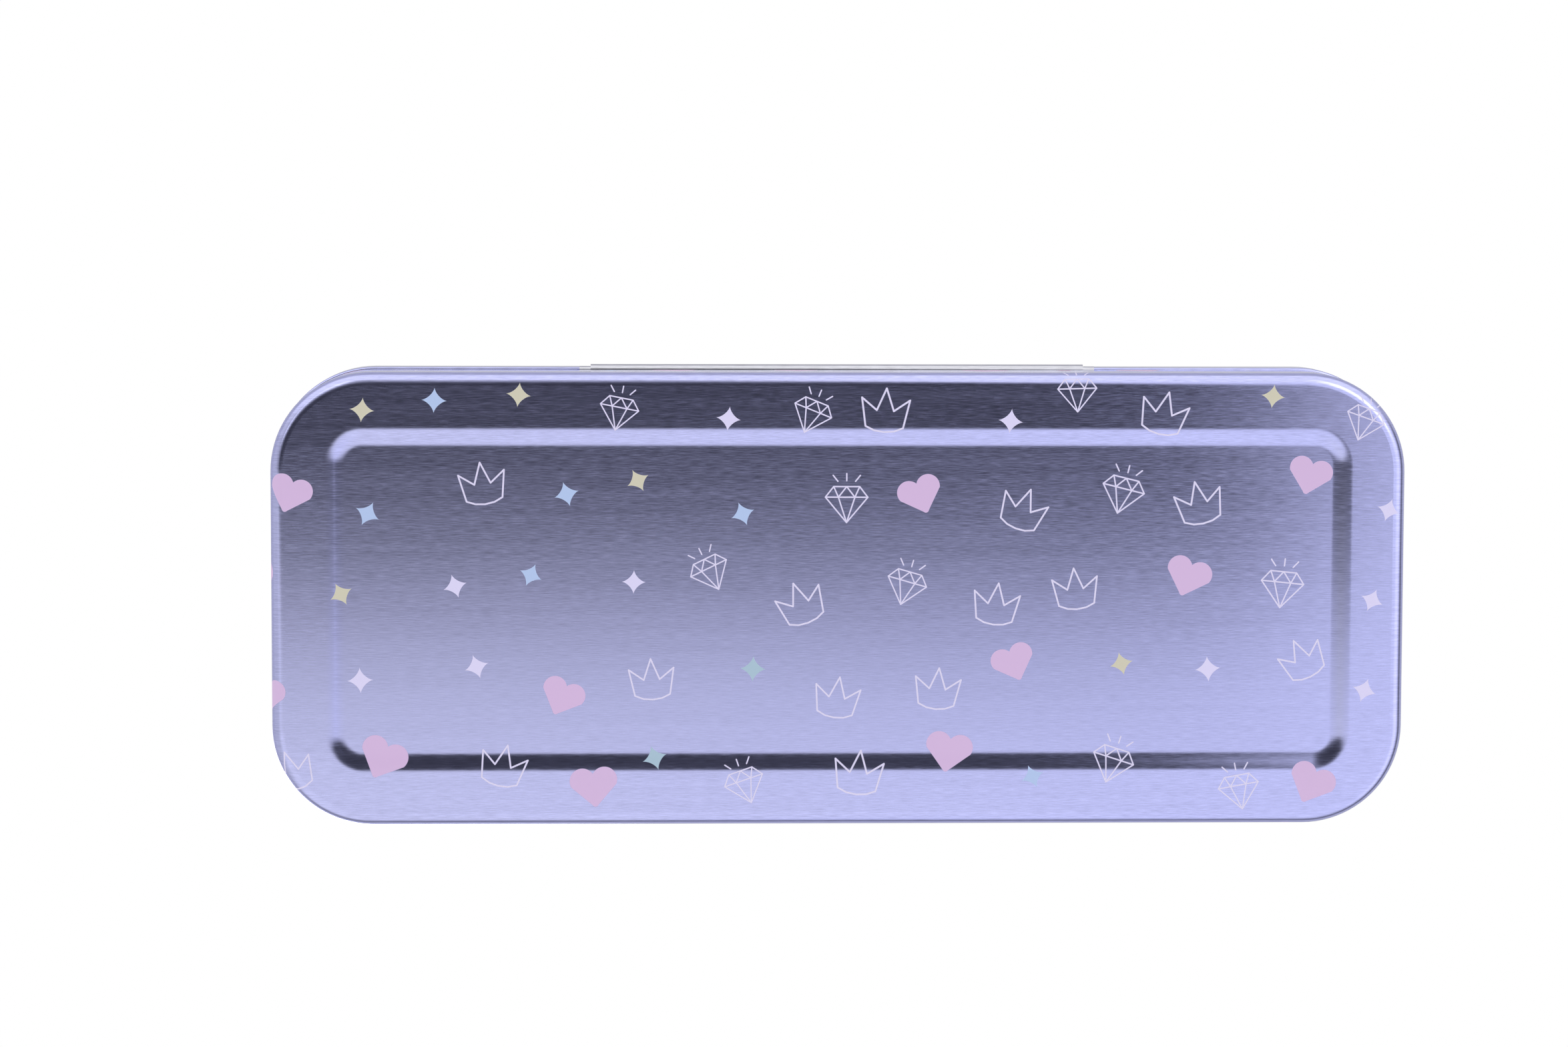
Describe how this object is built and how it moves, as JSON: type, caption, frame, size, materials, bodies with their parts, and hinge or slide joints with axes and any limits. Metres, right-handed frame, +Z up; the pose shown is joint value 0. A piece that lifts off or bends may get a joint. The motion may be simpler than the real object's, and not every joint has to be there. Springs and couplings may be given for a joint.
{
  "type": "coloured pencil tin",
  "caption": "Flat rectangular hinged tin with round corners, recessed bottom and printed scatter pattern, holding hexagonal coloured pencils in a grooved tray.",
  "frame": {"origin": "middle of the underside, on the surface the tin stands on; the bounding box's middle lies 0.3 mm nearer the hinge, because the hinge barrel sticks out", "axes": "+X along the length towards the pencils' points, +Y to the hinge at the rear, +Z up through the lid"},
  "size_m": [0.2006, 0.0813, 0.022],
  "materials": {
    "printed_tinplate": "brushed along the length, lavender tint, printed with small scattered motifs",
    "tray_plastic": "smooth thermoformed sheet",
    "yellow_lacquer": "gloss lacquer, bare wood at the point",
    "orange_lacquer": "gloss lacquer, bare wood at the point",
    "red_lacquer": "gloss lacquer, bare wood at the point",
    "pink_lacquer": "gloss lacquer, bare wood at the point",
    "violet_lacquer": "gloss lacquer, bare wood at the point",
    "dark_blue_lacquer": "gloss lacquer, bare wood at the point",
    "light_blue_lacquer": "gloss lacquer, bare wood at the point",
    "green_lacquer": "gloss lacquer, bare wood at the point",
    "brown_lacquer": "gloss lacquer, bare wood at the point",
    "black_lacquer": "gloss lacquer, bare wood at the point",
    "yellow_lead": "waxy pigment",
    "orange_lead": "waxy pigment",
    "red_lead": "waxy pigment",
    "pink_lead": "waxy pigment",
    "violet_lead": "waxy pigment",
    "dark_blue_lead": "waxy pigment",
    "light_blue_lead": "waxy pigment",
    "green_lead": "waxy pigment",
    "brown_lead": "waxy pigment",
    "black_lead": "waxy pigment"
  },
  "bodies": {
    "base": {"base": "printed_tinplate", "tray": "tray_plastic", "yellow_pencil_casing": "yellow_lacquer", "orange_pencil_casing": "orange_lacquer", "red_pencil_casing": "red_lacquer", "pink_pencil_casing": "pink_lacquer", "violet_pencil_casing": "violet_lacquer", "dark_blue_pencil_casing": "dark_blue_lacquer", "light_blue_pencil_casing": "light_blue_lacquer", "green_pencil_casing": "green_lacquer", "brown_pencil_casing": "brown_lacquer", "black_pencil_casing": "black_lacquer", "yellow_pencil_core": "yellow_lead", "orange_pencil_core": "orange_lead", "red_pencil_core": "red_lead", "pink_pencil_core": "pink_lead", "violet_pencil_core": "violet_lead", "dark_blue_pencil_core": "dark_blue_lead", "light_blue_pencil_core": "light_blue_lead", "green_pencil_core": "green_lead", "brown_pencil_core": "brown_lead", "black_pencil_core": "black_lead"},
    "lid": {"lid": "printed_tinplate"}
  },
  "joints": [
    {"name": "lid_hinge", "type": "hinge", "parent": "base", "child": "lid", "pos_m": [0, 0.0398, 0.0143], "axis": [-1, 0, 0], "range_deg": [0, 120]}
  ]
}
